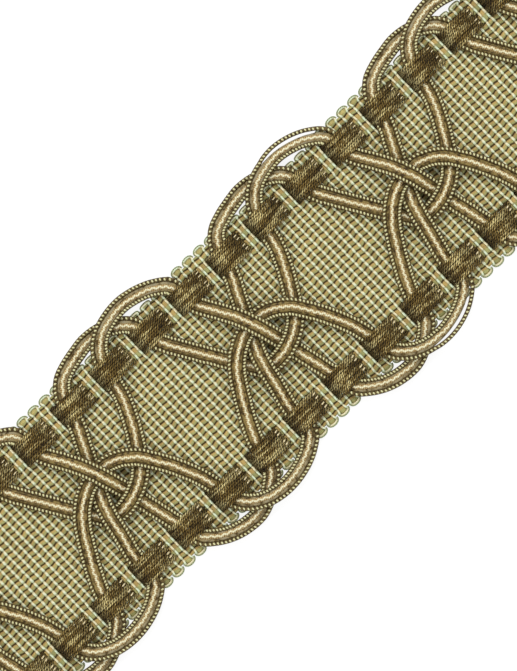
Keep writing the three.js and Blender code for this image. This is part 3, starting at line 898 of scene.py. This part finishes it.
serpentine = []
picot_outlines = Strands()
stations = np.arange(FIRST_GAP, -FIRST_GAP, -ROW_PITCH / 3)
for weft in range(-WEFTS_EACH_WAY, WEFTS_EACH_WAY):
    place = (weft + 0.5) * RIB_PITCH
    going_up = weft % 2 == 0
    serpentine.append(straight_weft(place, stations[::-1] if going_up else stations))
    if weft < WEFTS_EACH_WAY - 1:
        side = 1 if going_up else -1
        turn = picot_turn(place, side)
        serpentine.append(turn)
        rim = turn + side * OUTLINE_OUT * left_in_plan(turn)
        rim = np.column_stack([rim, np.full(len(rim), OUTLINE_LEVEL)])[OUTLINE_TRIM:-OUTLINE_TRIM]
        marks = np.arange(len(rim)) * OUTLINE_STEP
        picot_outlines.lay_one(rim, marks, OUTLINE_WIDTH, OUTLINE_WIDTH * 1.2, 5)
flat_line = np.concatenate(serpentine)
across = np.abs(flat_line[:, 1])
gap_share = np.exp(-((from_gap(flat_line[:, 1]) / GAP_DIP_REACH) ** 2)) * (across < TURN_ROOT)
tied = tie_share(flat_line[:, 0], flat_line[:, 1])
weft_level = WEFT_LEVEL - GAP_DIP * gap_share * (1 - tied) + TIE_LIFT * tied
weft_level -= TURN_DROP * ramp(across, EDGE, EDGE + 2)
weft_line = np.column_stack([flat_line, weft_level])
weft_width = soften(np.where(across > TURN_ROOT, TURN_WIDTH, WEFT_WIDTH - TIE_NARROWING * tied), 1)
weft_width = weft_width * (1 - GAP_NARROWING * gap_share * (1 - tied))
weft_marks = np.concatenate([[0], np.cumsum(np.linalg.norm(np.diff(weft_line, axis=0), axis=1))])
weft_yarn = Strands()
weft_yarn.lay_one(weft_line, weft_marks, weft_width, weft_width * WEFT_FLATNESS, 5)
weft_material = yarn_material("weft_cream", colour(206, 208, 172), 0.7, cream_cord_look(), 0.4, 0.12)
weft = settle(weft_yarn.finish("weft_cord", weft_material), "ground", "ground_tape")
# Its Groove colour is painted shade between the plies.
outline_material = yarn_material(
    "picot_sage", colour(140, 148, 108), 0.75, plied_yarn, 0.3, 0.06,
    Spacing=0.8, Plies=1.0, Groove=colour(112, 118, 78), Ply=colour(164, 174, 134), Variation=0.3,
)
picots = settle(picot_outlines.finish("picot_outlines", outline_material), "ground", "ground_tape")


# The floats: along each edge a flat bundle of ten dark plied yarns. It dives under the rib of each tie, comes
# up steeply beside it, bridges the gimps and slopes down more gently to the next tie, where short cream
# stitches hold it.
YARNS = 10
FLOAT_INNER = 27.55
FLOAT_STEP = 0.15
YARN_PITCH = 1.0
YARN_WIDTH = 1.02
YARN_THICK = 0.92
YARN_STEP = 0.85
WOBBLE = 0.5
WOBBLE_REACH = 18
LIFT_REACH = 14
RAGGED = 2.6  # how unevenly the yarns go down beside a tie
RAGGED_REACH = 20
TUNNEL = 1.15  # the height of the yarns under a tie
RISE_AFTER = 2.2  # from the middle of a tie to where the yarns come up
RISE_STEP = 0.3
RISE_SLOPE = 4.0
DIVE_BEFORE = 2.25  # from where the yarns are down to the middle of the next tie
FALL_SLOPE = 1.9
BAND_ROUNDING = 0.35
CROWN_LIGHT_RISE = (3.0, 7.5)  # past a tie, where the yarns turn up into the light and where they turn out of it
CROWN_LIGHT_FALL = (8.0, 15.5)
STITCH_HALF = 0.75
STITCH_BEFORE = 3.6  # from a stitch to the middle of its tie
STITCH_WIDTH = {1: 0.48, -1: 0.66}  # above and below; the upper ones have sunk further into the yarns
STITCH_PLACES = (1.5, 3.1)  # below each brown gap of a tie
STITCH_TAPER = np.array([0.55, 0.95, 1.0, 0.95, 0.55])
STITCH_LIFT = 0.1
STITCH_SLANT = 0.12
STITCH_UNEVEN = (0.12, 0.08)  # along and across
ENDS_BARE = 2  # how much of the float is left without stitches at a cut end
OUTER_GAP_ROWS = {1: 1, -1: 28}  # from the first brown gap down to a tie's outermost one, above and below


def float_yarn_look():
    """Float yarn: loose olive and grey-tan plies whose tone varies at random. The plies carry painted
    highlights on their crowns, some of them pale flecks, and painted shade in the grooves between them. Each
    float carries painted light on its crown and painted shade where the bundle turns down beside a tie."""
    look = Look("float_yarn", [
        ("Spacing", "Float", 1.3),
        ("Groove", "Color", colour(20, 10, 1)),
        ("Ply", "Color", colour(145, 118, 57)),
        ("Fleck", "Color", colour(207, 190, 131)),
    ])
    given = look.given
    along, across = look.place_on_tape()
    swell = look.plies(given["Spacing"], 3.0)
    uneven = look.fleck(along, 0.6, across, 1.1, 2.0)
    streaks = look.fleck(along, 0.09, across, 0.42)
    tone = look.maths("MULTIPLY_ADD", streaks, 0.75, look.maths("MULTIPLY_ADD", uneven, 0.62, 0.03))
    # painted highlights on the ply crowns and painted shade in the grooves; the pale Fleck colour is partly
    # random tone and partly painted highlight
    lit = look.times(look.maths("POWER", swell, 2.3), tone)
    ply = look.blend(look.step_up(tone, 0.6, 1.1), given["Ply"], given["Fleck"])
    # painted light and shade along each float: darkest just past a tie, brightest over the crown, dimmer
    # towards the next tie
    past_tie = look.times(look.maths("FRACT", look.maths("DIVIDE", along, FLOAT_PITCH)), FLOAT_PITCH)
    rising = look.step_up(past_tie, *CROWN_LIGHT_RISE)
    falling = look.maths("SUBTRACT", 1.0, look.step_up(past_tie, *CROWN_LIGHT_FALL))
    crown = look.times(rising, look.maths("MULTIPLY_ADD", falling, 0.65, 0.35))
    look.give(look.scaled(crown, look.blend(lit, given["Groove"], ply), 0.62, 1.5), swell)
    return look


def yarn_levels(crown, past_tie, ragged, from_middle):
    """The height of a float yarn's middle: under the ties, up beside them, and along the band's crown."""
    rising = TUNNEL + RISE_STEP + np.maximum(past_tie - RISE_AFTER + ragged / 4, 0) * RISE_SLOPE
    falling = TUNNEL + np.maximum(FLOAT_PITCH - past_tie - DIVE_BEFORE + ragged, 0) * FALL_SLOPE
    level = np.minimum(np.minimum(crown - YARN_THICK / 2, rising), falling)
    level = level - BAND_ROUNDING * from_middle**2 * (level > TUNNEL + 1)
    return np.maximum(level, TUNNEL)


def lay_float_yarn(yarns, line, marks):
    """Lays one yarn with its width kept level across the tape."""
    heading = unit(np.gradient(line, axis=0))
    left = unit(np.cross(np.cross(heading, [0, 1.0, 0]), heading))
    up = np.cross(heading, left)
    wide = np.full((1, len(line)), YARN_WIDTH)
    marks = marks[None] + chance.uniform(0, 5)
    yarns.lay(line[None], left[None], up[None], wide, wide * YARN_THICK / YARN_WIDTH, marks, 6)


def lay_end_stitches(stitches, side, stations, crown):
    """Lays four stitches over the sloping end of each float of a band, two in each doubled row of its tie."""
    past_tie = np.mod(stations, FLOAT_PITCH)
    fall = TUNNEL + np.maximum(FLOAT_PITCH - past_tie - DIVE_BEFORE, 0) * FALL_SLOPE + YARN_THICK / 2
    surface = np.minimum(crown, fall)
    outer_gap = FIRST_GAP - ROW_PITCH * OUTER_GAP_ROWS[side]
    places = [outer_gap - 2 * ROW_PITCH * row - below for row in (0, 1) for below in STITCH_PLACES]
    swing = np.linspace(-1, 1, len(STITCH_TAPER))
    last_tie = round(HALF_LENGTH / FLOAT_PITCH)
    for tie in range(1 - last_tie, last_tie + 1):
        for place in places:
            middle = tie * FLOAT_PITCH - STITCH_BEFORE + chance.normal(0, STITCH_UNEVEN[0])
            if abs(middle) > HALF_LENGTH - ENDS_BARE:
                continue
            along = middle + swing * STITCH_HALF
            level = np.interp(along, stations, surface) + STITCH_LIFT
            across = place + chance.normal(0, STITCH_UNEVEN[1]) + STITCH_SLANT * swing
            width = STITCH_WIDTH[side] * STITCH_TAPER
            stitches.lay_one(np.column_stack([along, across, level]), along, width, width * 0.8, 6)


float_material = yarn_material("float_yarn_brown", colour(84, 70, 44), 0.75, float_yarn_look(), 0.9, 0.3)
# Its Groove colour is painted shade between the plies.
stitch_material = yarn_material(
    "end_stitch_cream", colour(226, 216, 172), 0.7, plied_yarn, 0.3, 0.06,
    Spacing=0.7, Plies=1.0, Groove=colour(196, 172, 118), Ply=colour(242, 234, 200), Variation=0.4,
)
end_stitches = Strands()
half_yarns = (YARNS - 1) / 2
for name, side in (("upper", 1), ("lower", -1)):
    solid = nodes[f"float_band_{name}"]
    stations = np.arange(-HALF_LENGTH, HALF_LENGTH + 0.01, FLOAT_STEP)
    middle = side * (FLOAT_INNER + YARN_PITCH * half_yarns)
    crown = level_of(solid, np.column_stack([stations, np.full(len(stations), middle)]), True)
    yarns = Strands()
    for yarn in range(YARNS):
        wobble = slow_drift(len(stations), WOBBLE_REACH, WOBBLE)
        lift = slow_drift(len(stations), LIFT_REACH, WOBBLE)
        ragged = slow_drift(len(stations), RAGGED_REACH, RAGGED)
        from_middle = (yarn - half_yarns) / half_yarns
        level = yarn_levels(crown, np.mod(stations, FLOAT_PITCH), ragged, from_middle)
        across = side * (FLOAT_INNER + YARN_PITCH * yarn) + wobble
        line, marks = even_steps(np.column_stack([stations, across, soften(level + lift, 3)]), YARN_STEP)
        lay_float_yarn(yarns, line, marks)
    piece = yarns.finish(f"float_yarns_{name}", float_material)
    settle(piece, "float_yarn", solid.name)
    lay_end_stitches(end_stitches, side, stations, crown)
settle(end_stitches.finish("end_stitches", stitch_material), "ground", "ground_tape")
